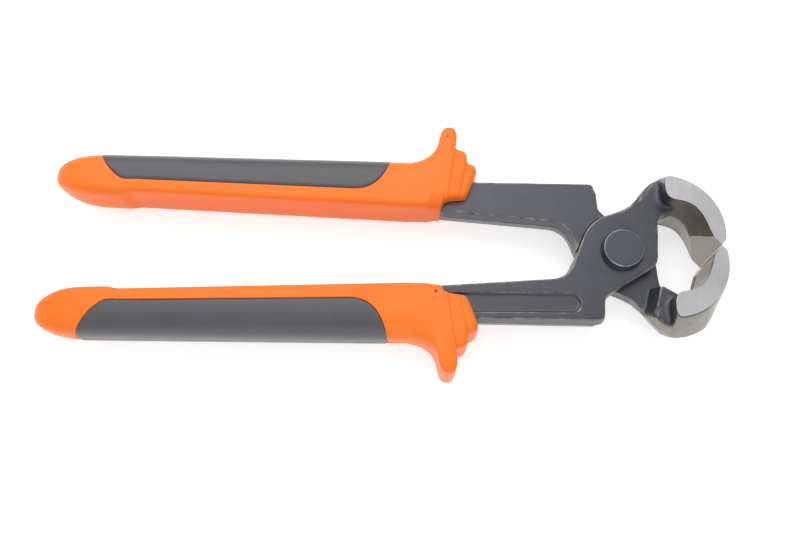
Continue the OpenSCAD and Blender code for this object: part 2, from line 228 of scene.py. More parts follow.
def raw_object(name, points, faces, materials=()):
    """An object from points in any units, shaded smooth."""
    mesh = bpy.data.meshes.new(name)
    mesh.from_pydata([tuple(p) for p in points], [], [tuple(int(i) for i in f) for f in faces])
    for m in materials:
        mesh.materials.append(m)
    mesh.update()
    recalc_normals(mesh)
    mesh.polygons.foreach_set("use_smooth", [True] * len(mesh.polygons))
    obj = bpy.data.objects.new(name, mesh)
    bpy.context.scene.collection.objects.link(obj)
    return obj


def add_attribute(mesh, name, values):
    attribute = mesh.attributes.new(name, "FLOAT", "POINT")
    attribute.data.foreach_set("value", np.asarray(values, float))


def finish_piece(obj, body, node):
    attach(obj, body)
    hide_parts(node)


def ring_faces(rings, n):
    faces = []
    for i in range(rings - 1):
        for j in range(n):
            a = i * n + j
            b = i * n + (j + 1) % n
            faces.append((a, b, b + n, a + n))
    return faces


def capped_rings(rings):
    """Points and faces of a closed skin through rings that have as many points each."""
    n = len(rings[0])
    points = np.concatenate(rings)
    faces = ring_faces(len(rings), n)
    faces.append(tuple(range(n)))
    faces.append(tuple(range(len(points) - 1, len(points) - n - 1, -1)))
    return points, faces


# Materials
NOISE_MIDDLE = (0.3, 0.7)  # the middle of what a noise gives, and nearly all of it
NOISE_SPAN = (0.2, 0.8)
MIX_INPUTS = (0, 6, 7)  # the mix node's sockets for its factor and two colours
MIX_RESULT = 2


class Nodes:
    """Short calls for building one procedural material."""

    def __init__(self, name):
        self.mat = bpy.data.materials.new(name)
        self.mat.use_nodes = True
        self.tree = self.mat.node_tree
        self.bsdf = self.tree.nodes["Principled BSDF"]

    def put(self, socket, value):
        if isinstance(value, bpy.types.NodeSocket):
            self.tree.links.new(value, socket)
        else:
            socket.default_value = (*value, 1) if socket.type == "RGBA" and len(value) == 3 else value

    def add(self, kind, **inputs):
        node = self.tree.nodes.new(kind)
        for key, value in inputs.items():
            self.put(node.inputs[key.replace("_", " ")], value)
        return node

    def surface(self, **inputs):
        for key, value in inputs.items():
            self.put(self.bsdf.inputs[key.replace("_", " ")], value)

    def position(self, stretch):
        coords = self.add("ShaderNodeTexCoord")
        mapping = self.add("ShaderNodeMapping")
        self.tree.links.new(coords.outputs["Object"], mapping.inputs["Vector"])
        mapping.inputs["Scale"].default_value = stretch
        return mapping.outputs["Vector"]

    def noise(self, scale, detail, rough, stretch=(1, 1, 1)):
        """Noise with that many features to a metre; a small stretch draws it out along an axis."""
        place = self.position(stretch)
        node = self.add("ShaderNodeTexNoise", Vector=place, Scale=scale, Detail=detail, Roughness=rough)
        return node.outputs["Fac"]

    def ramp(self, value, dark, light, span=NOISE_MIDDLE):
        """A colour that runs from dark to light while the value crosses the span."""
        node = self.add("ShaderNodeValToRGB", Fac=value)
        ends = node.color_ramp.elements
        for end, place, colour in zip(ends, span, (dark, light)):
            end.position = place
            end.color = (*colour, 1)
        return node.outputs["Color"]

    def remap(self, value, span, low, high):
        """The value, with that span of it stretched to run from low to high."""
        start, end = span
        node = self.add("ShaderNodeMapRange", Value=value, From_Min=start, From_Max=end)
        self.put(node.inputs["To Min"], low)
        self.put(node.inputs["To Max"], high)
        return node.outputs["Result"]

    def mix(self, factor, a, b):
        node = self.tree.nodes.new("ShaderNodeMix")
        node.data_type = "RGBA"
        for socket, value in zip(MIX_INPUTS, (factor, a, b)):
            self.put(node.inputs[socket], value)
        return node.outputs[MIX_RESULT]

    def math(self, operation, a, b):
        node = self.tree.nodes.new("ShaderNodeMath")
        node.operation = operation
        self.put(node.inputs[0], a)
        self.put(node.inputs[1], b)
        return node.outputs[0]

    def attribute(self, name):
        node = self.tree.nodes.new("ShaderNodeAttribute")
        node.attribute_name = name
        return node.outputs["Fac"]

    def bump(self, height, strength, depth):
        """Bump of a depth in millimetres."""
        node = self.add("ShaderNodeBump", Height=height, Strength=strength, Distance=depth * MM)
        self.tree.links.new(node.outputs["Normal"], self.bsdf.inputs["Normal"])


def worn_and_highlit(n, grain, span, most):
    """Share of the coat that gives way to a lighter colour, standing for wear and for a painted edge
    highlight: along convex edges, and broken up by two sizes of noise.
    """
    patches = n.remap(n.noise(scale=300, detail=4, rough=0.7), (0.35, 0.65), low=-0.3, high=0.2)
    speckle = n.remap(grain, NOISE_MIDDLE, low=-0.15, high=0.15)
    # mask of the lighter edges, which paint a highlight as well as wear
    bare = n.math("ADD", n.attribute("edge_wear_and_highlight"), n.math("ADD", patches, speckle))
    return n.remap(bare, span, 0, most)


def black_oxide():
    """Forged steel with a satin black-oxide coat, lighter along its edges with wear and a painted
    highlight.
    """
    n = Nodes("black_oxide")
    cloud = n.noise(scale=170, detail=5, rough=0.65)
    grain = n.noise(scale=2600, detail=3, rough=0.7)
    coat = n.ramp(cloud, dark=(0.064, 0.067, 0.077), light=(0.08, 0.083, 0.094))
    # lighter colour along the edges: bare steel from wear, and a painted highlight
    rubbed_and_highlight = (0.5, 0.47, 0.43)
    n.surface(
        Base_Color=n.mix(worn_and_highlit(n, grain, span=(0.2, 0.9), most=0.5), coat, rubbed_and_highlight),
        Metallic=0.65,
        Roughness=n.remap(cloud, NOISE_SPAN, low=0.31, high=0.42),
    )
    n.bump(grain, strength=0.12, depth=0.04)
    return n.mat


def ground_steel():
    """Bare steel of the flat jaw sides, with fine grinding lines across them."""
    n = Nodes("ground_steel")
    lines = n.noise(scale=900, detail=5, rough=0.75, stretch=(2.4, 0.12, 1))
    cloud = n.noise(scale=130, detail=3, rough=0.5)
    streaks = n.noise(scale=330, detail=3, rough=0.6, stretch=(2.4, 0.2, 1))
    steel = n.ramp(cloud, dark=(0.44, 0.436, 0.446), light=(0.53, 0.525, 0.535))
    streak = (0.37, 0.366, 0.376)
    n.surface(
        Base_Color=n.mix(n.remap(streaks, (0.35, 0.75), low=0, high=0.35), steel, streak),
        Metallic=0.75,
        Roughness=n.remap(lines, NOISE_SPAN, low=0.3, high=0.48),
    )
    n.bump(lines, strength=0.2, depth=0.04)
    return n.mat


def bevel_steel():
    """The cutting bevel inside the jaw: a warmer, finer grind."""
    n = Nodes("bevel_steel")
    lines = n.noise(scale=1100, detail=5, rough=0.75, stretch=(2.0, 0.3, 0.2))
    n.surface(
        Base_Color=n.ramp(lines, dark=(0.2, 0.186, 0.16), light=(0.27, 0.25, 0.216), span=NOISE_SPAN),
        Metallic=0.8,
        Roughness=n.remap(lines, NOISE_SPAN, low=0.28, high=0.42),
    )
    n.bump(lines, strength=0.12, depth=0.03)
    return n.mat


def belt_steel():
    """Belt-finished back and inside of the jaws: smooth, with a warm grey sheen."""
    n = Nodes("belt_steel")
    cloud = n.noise(scale=260, detail=5, rough=0.6)
    lines = n.noise(scale=700, detail=4, rough=0.7, stretch=(0.4, 0.4, 2.5))
    steel = n.ramp(cloud, dark=(0.185, 0.172, 0.152), light=(0.235, 0.218, 0.195))
    scratch = (0.13, 0.121, 0.108)
    n.surface(
        Base_Color=n.mix(n.remap(lines, (0.4, 0.75), low=0, high=0.3), steel, scratch),
        Metallic=0.7,
        Roughness=n.remap(lines, NOISE_SPAN, low=0.3, high=0.44),
    )
    n.bump(lines, strength=0.12, depth=0.04)
    return n.mat


def brown_scale():
    """Rough brown forging scale inside the jaw."""
    n = Nodes("brown_scale")
    cloud = n.noise(scale=300, detail=5, rough=0.7)
    pits = n.noise(scale=900, detail=5, rough=0.75)
    n.surface(
        Base_Color=n.ramp(cloud, dark=(0.06, 0.052, 0.044), light=(0.118, 0.105, 0.09)),
        Metallic=0.4,
        Roughness=n.remap(pits, NOISE_SPAN, low=0.45, high=0.62),
    )
    n.bump(pits, strength=0.35, depth=0.1)
    return n.mat


def rivet_oxide():
    """The same coat on the rivet, bluer, with a thin bright rim of wear and painted highlight."""
    n = Nodes("rivet_oxide")
    grain = n.noise(scale=2400, detail=4, rough=0.7)
    cloud = n.noise(scale=240, detail=4, rough=0.6)
    coat = n.ramp(cloud, dark=(0.064, 0.069, 0.083), light=(0.076, 0.082, 0.099))
    # bright rim colour: wear and a painted highlight
    rubbed_and_highlight = (0.6, 0.59, 0.58)
    n.surface(
        Base_Color=n.mix(worn_and_highlit(n, grain, span=(0.3, 0.95), most=0.75), coat, rubbed_and_highlight),
        Metallic=0.5,
        Roughness=n.remap(cloud, NOISE_SPAN, low=0.34, high=0.44),
    )
    n.bump(grain, strength=0.1, depth=0.03)
    return n.mat


def moulded_orange():
    """Glossy-satin hard plastic with a fine moulded grain and a dark speck in each gate mark."""
    n = Nodes("moulded_orange")
    cloud = n.noise(scale=60, detail=3, rough=0.5)
    grain = n.noise(scale=3800, detail=2, rough=0.6)
    plastic = n.ramp(cloud, dark=(1.0, 0.195, 0.012), light=(1.0, 0.22, 0.022))
    speck = (0.16, 0.05, 0.05)
    n.surface(
        Base_Color=n.mix(n.attribute("gate_mark"), plastic, speck),
        Roughness=n.remap(grain, NOISE_SPAN, low=0.38, high=0.48),
        Specular_IOR_Level=0.3,
        Subsurface_Weight=0.06,
        Subsurface_Radius=(1.0, 0.5, 0.2),
        Subsurface_Scale=0.8 * MM,
    )
    n.bump(grain, strength=0.1, depth=0.03)
    return n.mat


def soft_grey():
    """Soft moulding: matt, with a finer and deeper grain."""
    n = Nodes("soft_grey")
    cloud = n.noise(scale=90, detail=4, rough=0.55)
    grain = n.noise(scale=3000, detail=3, rough=0.7)
    n.surface(
        Base_Color=n.ramp(cloud, dark=(0.073, 0.074, 0.08), light=(0.088, 0.089, 0.095)),
        Roughness=n.remap(cloud, NOISE_SPAN, low=0.34, high=0.44),
    )
    n.bump(grain, strength=0.18, depth=0.05)
    return n.mat


OXIDE_SLOT, GROUND_SLOT, BEVEL_SLOT, BELT_SLOT, SCALE_SLOT = range(5)
LEVER_MATERIALS = (black_oxide(), ground_steel(), bevel_steel(), belt_steel(), brown_scale())
ORANGE = moulded_orange()
GREY = soft_grey()
RIVET = rivet_oxide()


# Levers
# The jaw's swell, inner radius and ridge by angle about its centre, as shares of their sizes,
# the same as in the part's source
BULGE = ((-20, 0.3), (0, 0.33), (25, 0.42), (38, 0.5), (57, 1), (72, 1), (88, 0.86))
INSIDE = (
    (-20, 1.02), (-10, 0.8), (1, 0.735), (14, 0.705), (28, 0.692), (41, 0.678),
    (53, 0.643), (65, 0.6), (74, 0.584), (80, 0.605), (88, 0.665),
)
RIDGE = ((-20, 1), (8, 1), (25, 0.85), (40, 0.45), (60, 0.2), (70, 0), (88, 0))


def looked_up(table, place):
    places, values = zip(*table)
    return np.interp(place, places, values)


def rounding(along, radius):
    """How far a corner of that radius recedes at a distance along the edge from the corner."""
    return radius - math.sqrt(radius**2 - max(0, radius - along) ** 2)


def jaw_blank():
    """The jaw before grinding: it stands past its ground sides and past the cutting edge."""
    top = HALF_W + GRINDING
    heights = np.linspace(top, -top, BLANK_ROWS)
    u = np.abs(heights) / HALF_W
    rings = []
    corner = JAW_START_A - np.linspace(0, CORNER_TURN, CORNER_RINGS)
    rest = np.linspace(JAW_START_A - CORNER_TURN - 1, JAW_END_A, BLANK_RINGS)
    for a in [*corner, *rest]:
        along = JAW_R * math.radians(JAW_START_A - a)
        outer_r = JAW_R + JAW_BULGE * looked_up(BULGE, a) * (1 - u**BULGE_POW)
        outer_r -= rounding(along, OUTER_CORNER)
        inner_r = JAW_R * looked_up(INSIDE, a) - JAW_RIDGE * looked_up(RIDGE, a) * (1 - u)
        inner_r += rounding(along, INNER_CORNER)
        r = np.concatenate([outer_r, inner_r[::-1]])
        z = np.concatenate([heights, heights[::-1]])
        turn = math.radians(a)
        rings.append(np.stack([JAW_X + r * math.cos(turn), JAW_Y + r * math.sin(turn), z], -1))
    return capped_rings(rings)


def cad_lever(node, flip):
    """Points and faces of the lever's solid, without the bar's hidden end
    and without what stands past the lap joint's thickness: the blank makes the jaw."""
    bm = bmesh.new()
    bm.from_mesh(frame["nodes"][node].data)
    local = pivot_frame([v.co for v in bm.verts], flip)
    for v, p in zip(bm.verts, local):
        v.co = p
    bmesh.ops.remove_doubles(bm, verts=bm.verts, dist=WELD)
    over = HALF_T + CUT_MARGIN
    cuts = (((HIDDEN_X, 0, 0), (-1, 0, 0)), ((0, 0, over), (0, 0, 1)), ((0, 0, -over), (0, 0, -1)))
    for place, outwards in cuts:
        everything = [*bm.verts, *bm.edges, *bm.faces]
        bmesh.ops.bisect_plane(bm, geom=everything, plane_co=place, plane_no=outwards, clear_outer=True)
        bmesh.ops.holes_fill(bm, edges=[e for e in bm.edges if e.is_boundary], sides=0)
    bmesh.ops.recalc_face_normals(bm, faces=bm.faces)
    bm.verts.index_update()
    points = np.array([v.co for v in bm.verts])
    faces = [tuple(v.index for v in f.verts) for f in bm.faces]
    bm.free()
    return points, faces


def applied(obj):
    """The mesh that an object's modifiers make; the object goes."""
    evaluated = obj.evaluated_get(bpy.context.evaluated_depsgraph_get())
    mesh = bpy.data.meshes.new_from_object(evaluated)
    bpy.data.objects.remove(obj)
    return mesh


def remeshed(points, faces):
    """One closed skin round everything given, as arrays of points and quads."""
    obj = raw_object("blank", points, faces)
    remesh = obj.modifiers.new("remesh", "REMESH")
    remesh.mode = "VOXEL"
    remesh.voxel_size = VOXEL
    mesh = applied(obj)
    co = np.empty(len(mesh.vertices) * 3)
    mesh.vertices.foreach_get("co", co)
    corners = [list(f.vertices) for f in mesh.polygons]
    quads = np.array([c if len(c) == 4 else [*c, c[-1]] for c in corners])
    bpy.data.meshes.remove(mesh)
    return co.reshape(-1, 3), quads


def relax(points, quads, rounds):
    """Rounds edges: each vertex moves halfway to the mean of its neighbours, a number of times."""
    edges = np.concatenate([quads[:, [0, 1]], quads[:, [1, 2]], quads[:, [2, 3]], quads[:, [3, 0]]])
    edges = edges[edges[:, 0] != edges[:, 1]]
    edges = np.concatenate([edges, edges[:, ::-1]])
    count = np.bincount(edges[:, 0], minlength=len(points))
    p = points.copy()
    for _ in range(rounds):
        mean = np.stack([np.bincount(edges[:, 0], p[edges[:, 1], k], len(p)) for k in range(3)], -1)
        p += 0.5 * (mean / count[:, None] - p)
    return p


def vertex_normals(points, quads):
    a, b, c, d = (points[quads[:, k]] for k in range(4))
    face = np.cross(c - a, d - b)
    total = np.zeros_like(points)
    for k in range(4):
        for axis in range(3):
            total[:, axis] += np.bincount(quads[:, k], face[:, axis], len(points))
    return unit(total)


def forged_root(p, quads):
    """The jaw's root: its concave corners fill up, and the edges of the neck's back are rounded."""
    normals = vertex_normals(p, quads)
    gain = ((relax(p, quads, ROOT_ROUNDS) - p) * normals).sum(1)
    from_pivot = np.hypot(p[:, 0], p[:, 1])
    from_jaw = np.hypot(p[:, 0] - JAW_X, p[:, 1] - JAW_Y)
    above = smoothstep(*ROOT_Y, p[:, 1])
    root = above * smoothstep(*ROOT_FROM_PIVOT, from_pivot) * smoothstep(*ROOT_X, p[:, 0])
    back = above * smoothstep(*BACK_FROM_JAW, from_jaw) * smoothstep(*BACK_X, p[:, 0])
    back *= 1 - smoothstep(*BACK_END_X, p[:, 0])
    move = np.maximum(gain, 0) * root + BACK_ROUNDING * np.minimum(gain, 0) * back
    return p + normals * move[:, None]


def drafted(p, normals):
    """The forged sides swell to a parting line at mid height, with a trace of flash on it.
    The lap plate and its pocket close up a little, and the neck before the jaw fills."""
    from_pivot = np.hypot(p[:, 0], p[:, 1])
    side = smoothstep(*SIDE_UPRIGHT, np.hypot(normals[:, 0], normals[:, 1]))
    forged = smoothstep(*FORGED_FROM_PIVOT, from_pivot) * (1 - smoothstep(*JAW_FADE_X, p[:, 0]))
    bare = smoothstep(COLLAR_X - COLLAR_FADE, COLLAR_X, p[:, 0])
    height = np.clip(np.abs(p[:, 2]) / HALF_T, 0, 1)
    flash = FLASH * np.exp(-((p[:, 2] / FLASH_W) ** 2))
    profile = DRAFT * (1 - height) - DRAFT_INSET + flash
    lap = smoothstep(*LAP_RISE, from_pivot) * (1 - smoothstep(*LAP_FALL, from_pivot)) * LAP_SWELL
    outwards = unit(normals * (1, 1, 0))
    faces_out = np.clip((outwards * unit(p * (1, 1, 0))).sum(1), 0, 1)
    from_neck = (p[:, :2] - NECK_AT) / NECK_REACH
    neck = NECK_FILL * np.exp(-(from_neck**2).sum(1)) * faces_out
    return p + outwards * (side * (forged * bare * profile + lap + neck))[:, None]


def edge_wear_and_highlight(points, quads):
    """How convex the skin is at each vertex, from 0 to 1: it tells the coat where wear and a painted
    highlight lighten it.
    """
    smoothed = relax(points, quads, WEAR_HIGHLIGHT_ROUNDS)
    proud = ((points - smoothed) * vertex_normals(points, quads)).sum(1)
    even = relax(np.stack([proud] * 3, -1), quads, WEAR_HIGHLIGHT_BLUR)[:, 0]
    return np.clip(even / WEAR_HIGHLIGHT_FULL, 0, 1)


def prism(name, outline, low, high, slots):
    """A cutter with one material slot for each side of its outline; the last slot is for both ends."""
    n = len(outline)
    points = [(x, y, z) for z in (low, high) for x, y in outline]
    faces = [(i, (i + 1) % n, (i + 1) % n + n, i + n) for i in range(n)]
    faces += [tuple(range(n)), tuple(range(n, 2 * n))]
    obj = raw_object(name, points, faces, LEVER_MATERIALS)
    for f, slot in zip(obj.data.polygons, [*slots, slots[-1]]):
        f.material_index = slot
        f.use_smooth = False
    return obj


def ground_off(obj, cutter):
    """Takes the cutter away from the piece; the new flats keep the cutter's materials."""
    cut = obj.modifiers.new("grind", "BOOLEAN")
    cut.operation = "DIFFERENCE"
    cut.solver = "EXACT"
    cut.object = cutter
    mesh = applied(obj)
    bpy.data.objects.remove(cutter)
    out = bpy.data.objects.new(mesh.name, mesh)
    bpy.context.scene.collection.objects.link(out)
    return out


def ground_jaw(obj):
    """Grinds both flat sides of the jaw, and then the bevels that meet in the cutting edge."""
    far = HALF_W + 3 * GRINDING
    slots = [GROUND_SLOT] * (len(GRIND_BLOCK) + 1)
    for low, high in ((HALF_W, far), (-far, -HALF_W)):
        obj = ground_off(obj, prism("side", GRIND_BLOCK, low, high, slots))
    inner = math.tan(math.radians(INNER_BEVEL_A))
    outer = math.tan(math.radians(OUTER_BEVEL_A))
    left = EDGE_X - WEDGE_HALF_W
    right = EDGE_X + WEDGE_HALF_W
    wedge = [
        (EDGE_X, EDGE_Y),
        (left, EDGE_Y + WEDGE_HALF_W * inner),
        (left, WEDGE_LOW),
        (right, WEDGE_LOW),
        (right, EDGE_Y + WEDGE_HALF_W * outer),
    ]
    slots = [BEVEL_SLOT] * 2 + [GROUND_SLOT] * 4
    return ground_off(obj, prism("edge", wedge, -far, far, slots))


def finish_slots(centres, normals):
    """The finish of each face: belt steel on the jaw's back and on one side of its inside,
    brown scale on the rest of the inside, and the coat elsewhere."""
    steep = np.abs(normals[:, 2]) < STEEP
    from_middle = centres[:, :2] - (JAW_X, JAW_Y)
    outwards = (from_middle * normals[:, :2]).sum(1) > 0
    back = steep & outwards & (centres[:, 0] > BELT_X) & (centres[:, 1] > BELT_LOW_Y)
    back &= np.linalg.norm(from_middle, axis=1) > BELT_FROM_MIDDLE * JAW_R
    back &= (centres[:, :2] * normals[:, :2]).sum(1) > 0
    inside = steep & ~outwards & (centres[:, 0] > JAW_X + INSIDE_X)
    low = centres[:, 2] < SCALE_LOW_Z
    slots = np.full(len(centres), OXIDE_SLOT)
    slots[(back | (inside & low)) & (np.abs(centres[:, 2]) < BELT_REACH)] = BELT_SLOT
    slots[inside & ~low] = SCALE_SLOT
    return slots


def lever(name, node, body, flip):
    """Forged lever: the solid and the jaw blank under one skin, with lighter edges of wear and painted
    highlight, draft and ground flats.
    """
    points, faces = cad_lever(node, flip)
    more_points, more_faces = jaw_blank()
    faces += [tuple(i + len(points) for i in f) for f in more_faces]
    points = np.concatenate([points, more_points])
    p, quads = remeshed(points, faces)
    p = forged_root(relax(p, quads, SKIN_ROUNDS), quads)
    p = drafted(p, vertex_normals(p, quads))
    obj = raw_object(name, p, [tuple(dict.fromkeys(q)) for q in quads.tolist()], LEVER_MATERIALS)
    # convex edges get wear and a painted highlight
    add_attribute(obj.data, "edge_wear_and_highlight", edge_wear_and_highlight(p, quads))
    centres = np.array([f.center for f in obj.data.polygons])
    normals = np.array([f.normal for f in obj.data.polygons])
    obj.data.polygons.foreach_set("material_index", finish_slots(centres, normals))
    obj = ground_jaw(obj)
    obj.name = name
    mesh = obj.data
    local = np.array([v.co for v in mesh.vertices])
    mesh.vertices.foreach_set("co", placed(local, flip).ravel())
    mesh.update()
    recalc_normals(mesh)
    finish_piece(obj, body, node)


# Rivet
# Half of its profile, from the middle of the head to the shank: radius and height over the lap plane
RIVET_HALF = (
    (0.8, HEAD_TOP - 0.03), (3.0, HEAD_TOP - 0.02), (4.8, HEAD_TOP), (5.45, HEAD_TOP),
    (5.63, HEAD_TOP - 0.04), (5.77, HEAD_TOP - 0.14), (HEAD_R, HEAD_TOP - 0.32),
    (5.93, HEAD_TOP - 0.9), (6.08, HEAD_TOP - 1.7), (HEAD_FOOT_R, HEAD_TOP - 2.2),
    (HEAD_FOOT_R, 3.93), (6.1, 3.82), (3.9, 3.78),
)


def rivet():
    """Flat-headed rivet: slightly tapered heads, each with a thin bright rim of wear and painted highlight.
    """
    turns = np.linspace(0, 2 * math.pi, RIVET_SIDES, endpoint=False)
    rings = []
    for r, z in [*RIVET_HALF, *((r, -z) for r, z in RIVET_HALF[::-1])]:
        rings.append(np.stack([r * np.cos(turns), r * np.sin(turns), np.full(len(turns), z)], -1))
    points, faces = capped_rings(rings)
    obj = raw_object("joint_rivet_detail", placed(points), faces, [RIVET])
    from_axis = np.hypot(points[:, 0], points[:, 1])
    rim = np.exp(-(((from_axis - WORN_HIGHLIT_R) / WORN_HIGHLIT_W) ** 2))
    # ring of wear and painted highlight round the rim of each head
    add_attribute(obj.data, "edge_wear_and_highlight", rim * (np.abs(points[:, 2]) > HEAD_TOP - WORN_HIGHLIT_DEPTH))
    finish_piece(obj, UPPER_JAW_SIDE, "joint_rivet")


# Grips
# The guard and the stepped collar, from behind the guard to the front: place along X,
# outer side, inner side, half thickness, squareness of the outer half (1 is round)
# and of the inner half, and lean: how far the section shifts along X for each step along Y
GUARD = np.array([
    [-60.6, 28.7, 12.05, 7.5, 0.6, 0.2, 0.03],
    [-57.98, 29.9, 11.95, 7.64, 0.48, 0.22, 0.07],
    [-56.74, 31.2, 11.85, 7.74, 0.36, 0.26, 0.11],
    [-56.07, 33.2, 11.8, 7.8, 0.27, 0.3, 0.135],
    [-55.81, 36.0, 11.75, 7.83, 0.2, 0.33, 0.14],
    [-55.26, 38.0, 11.7, 7.88, 0.16, 0.37, 0.145],
    [-54.46, 38.5, 11.7, 7.95, 0.13, 0.43, 0.147],
    [-53.5, 38.6, 11.65, 8.0, 0.13, 0.5, 0.148],
    [-52.27, 38.3, 11.65, 8.0, 0.13, 0.5, 0.15],
    [-51.42, 37.3, 14.0, 7.97, 0.14, 0.3, 0.15],
    [-50.75, 35.5, 14.5, 7.84, 0.16, 0.22, 0.15],
    [-50.55, 32.2, 14.6, 7.64, 0.17, 0.2, 0.15],
    [-50.35, 31.6, 14.7, 7.5, 0.18, 0.2, 0.155],
    [-48.18, 30.7, 15.1, 7.45, 0.18, 0.2, 0.19],
    [-47.12, 29.6, 15.2, 7.32, 0.2, 0.2, 0.2],
    [-46.7, 28.0, 15.2, 7.1, 0.22, 0.2, 0.2],
    [-46.4, 27.2, 15.25, 6.92, 0.22, 0.2, 0.22],
    [-44.48, 26.3, 15.3, 6.8, 0.24, 0.22, 0.32],
    [-43.42, 25.4, 15.45, 6.28, 0.3, 0.26, 0.36],
    [-42.94, 24.6, 15.9, 5.6, 0.4, 0.32, 0.37],
])

# Gate marks: place, radii, and the direction along Z in which they are sunk
GATE_MARKS = (
    ((-51.93, 34.97, 7.95), (0.26, 0.6, 1.5), -1),
    ((-55.31, 14.83, -7.5), (0.62, 0.62, 1.5), 1),
)
GATE_DEPTH = 0.25
GATE_FADE = (0.2, 0.8)


def plain_row(x):
    """Outer side, inner side, half thickness, squareness of both halves and lean of the plain grip at x."""
    s = x - GRIP_END
    share = s / GRIP_L
    past_step = smoothstep(STEP_START, STEP_END, s)
    swell = max(0, 1 - (1 - min(1, s / POMMEL_L)) ** POMMEL_POW) ** (1 / POMMEL_POW)
    outer = GRIP_OUTER[0] + (GRIP_OUTER[1] - GRIP_OUTER[0]) * share
    inner = GRIP_INNER[0] + (GRIP_INNER[1] - GRIP_INNER[0]) * share - POMMEL_STEP * (1 - past_step)
    middle = (outer + inner) / 2
    half_w = (outer - inner) / 2 * swell
    inner_pow = INNER_POW - INNER_POW_DROP * past_step + TIP_ROUNDER * (1 - smoothstep(0, TIP_L, s))
    return [middle + half_w, middle - half_w, GRIP_HALF_T * swell, OUTER_POW, inner_pow, 0]


def smooth_slopes(rows):
    """Slopes of a curve through a table's rows that never overshoots them."""
    slope = np.diff(rows[:, 1:], axis=0) / np.diff(rows[:, 0])[:, None]
    before, after = slope[:-1], slope[1:]
    product = before * after
    total = np.where(product > 0, before + after, 1)
    inner = np.where(product > 0, 2 * product / total, 0)
    return np.concatenate([slope[:1], inner, slope[-1:]])


FRONT_ROWS = np.concatenate([np.array([[x, *plain_row(x)] for x in PLAIN_X]), GUARD])
FRONT_SLOPES = smooth_slopes(FRONT_ROWS)


def row_at(x):
    """The six values of the section at x: the table's rows are joined by a smooth cubic."""
    if x <= FRONT_ROWS[1, 0]:
        return plain_row(x)
    i = min(np.searchsorted(FRONT_ROWS[:, 0], x) - 1, len(FRONT_ROWS) - 2)
    x0, x1 = FRONT_ROWS[i, 0], FRONT_ROWS[i + 1, 0]
    t = (x - x0) / (x1 - x0)
    rise = FRONT_ROWS[i + 1, 1:] - FRONT_ROWS[i, 1:]
    blend = t * t * (3 - 2 * t)
    lead = (t**3 - 2 * t**2 + t) * (x1 - x0) * FRONT_SLOPES[i]
    trail = (t**3 - t**2) * (x1 - x0) * FRONT_SLOPES[i + 1]
    return FRONT_ROWS[i, 1:] + blend * rise + lead + trail


def oval(row, phi):
    """The [y, z] outline of a section at angles phi from its outer side."""
    outer, inner, half_t, outer_pow, inner_pow, _ = row
    crown = inner + CROWN * (outer - inner)
    c, s = np.cos(phi), np.sin(phi)
    power = np.where(c >= 0, outer_pow, inner_pow)
    reach = np.where(c >= 0, outer - crown, crown - inner)
    y = crown + reach * np.sign(c) * np.abs(c) ** power
    z = half_t * np.sign(s) * np.abs(s) ** power
    return np.stack([y, z], -1)


def skin(x, phi, depth=0):
    """Points of the grip's surface at x and angles phi, sunk by depth."""
    row = row_at(x)
    small = 1e-4
    p = oval(row, phi)
    along = unit(oval(row, phi + small) - oval(row, phi - small))
    y = p[:, 0] - along[:, 1] * depth
    z = p[:, 1] + along[:, 0] * depth
    return np.stack([x + row[5] * (y - LEAN_Y), y, z], -1)


def inlay_share(x):
    """How much of its full width the inlay spans at x: it closes at both ends in a full curve."""
    near = min(x - INLAY_REAR, INLAY_FRONT - x)
    power = INLAY_REAR_POW if x - INLAY_REAR < INLAY_FRONT - x else INLAY_FRONT_POW
    t = min(1, max(0, 1 - near / INLAY_END_L))
    return (1 - t**power) ** (1 / power)


def even_angles(x):
    """Angles of points spaced evenly round a section, along the inlay and along the plain rest,
    and the inlay's width."""
    phi = np.linspace(0, 2 * math.pi, ANGLE_SAMPLES)
    # Crowds the samples where the outline runs fastest, at each quarter
    for _ in range(2):
        phi = phi - np.sin(4 * phi) / 4
    steps = np.linalg.norm(np.diff(oval(row_at(x), phi), axis=0), axis=1)
    run = np.concatenate([[0], np.cumsum(steps)])
    full = np.interp(math.pi / 2, phi, run) + INLAY_EXTRA
    half = max(INLAY_MIN_HALF_W, full * inlay_share(x))
    bed = np.interp(np.abs(np.linspace(-half, half, BED_POINTS)), run, phi)
    bed[: BED_POINTS // 2] *= -1
    plain = np.interp(np.linspace(half + GROOVE_W, run[-1] - half - GROOVE_W, PLAIN_POINTS), run, phi)
    return bed, plain, 2 * half


def inlay_stations():
    """Places of the rings along the inlay, closer together towards its ends."""
    turns = np.radians(np.linspace(0, 90, END_RINGS))
    rear = INLAY_REAR + INLAY_END_L * (1 - np.cos(turns))
    front = INLAY_FRONT - INLAY_END_L * (1 - np.cos(turns[::-1]))
    middle = np.linspace(rear[-1], front[0], MIDDLE_RINGS)[1:-1]
    return [*rear, *middle, *front]


def guard_stations():
    """Places from the inlay's front end to the front of the collar, evenly spaced along the outer side."""
    x = np.linspace(INLAY_FRONT + GROOVE_W, GUARD[-1, 0], OUTLINE_SAMPLES)
    outer = np.array([row_at(v)[0] for v in x])
    run = np.concatenate([[0], np.cumsum(np.hypot(np.diff(x), np.diff(outer)))])
    return np.interp(np.linspace(0, run[-1], GUARD_RINGS), run, x)


def grip_ring(x, lip_depth, bed_depth):
    """One ring of the grip: the inlay's bed, with a lip on each side, and the plain rest."""
    bed, plain, _ = even_angles(x)
    lip = skin(x, bed[[-1, 0]], lip_depth)
    return np.concatenate([skin(x, bed, bed_depth), lip[:1], skin(x, plain), lip[1:]])


def gate_marks(points):
    """The points with the gate marks sunk into them, and the marks' strength at each."""
    marked = points.copy()
    strength = np.zeros(len(points))
    for place, radii, sink in GATE_MARKS:
        off = (points - place) / radii
        near = np.exp(-((off**2).sum(1)))
        marked[:, 2] += sink * GATE_DEPTH * near
        strength = np.maximum(strength, smoothstep(*GATE_FADE, near))
    return marked, strength


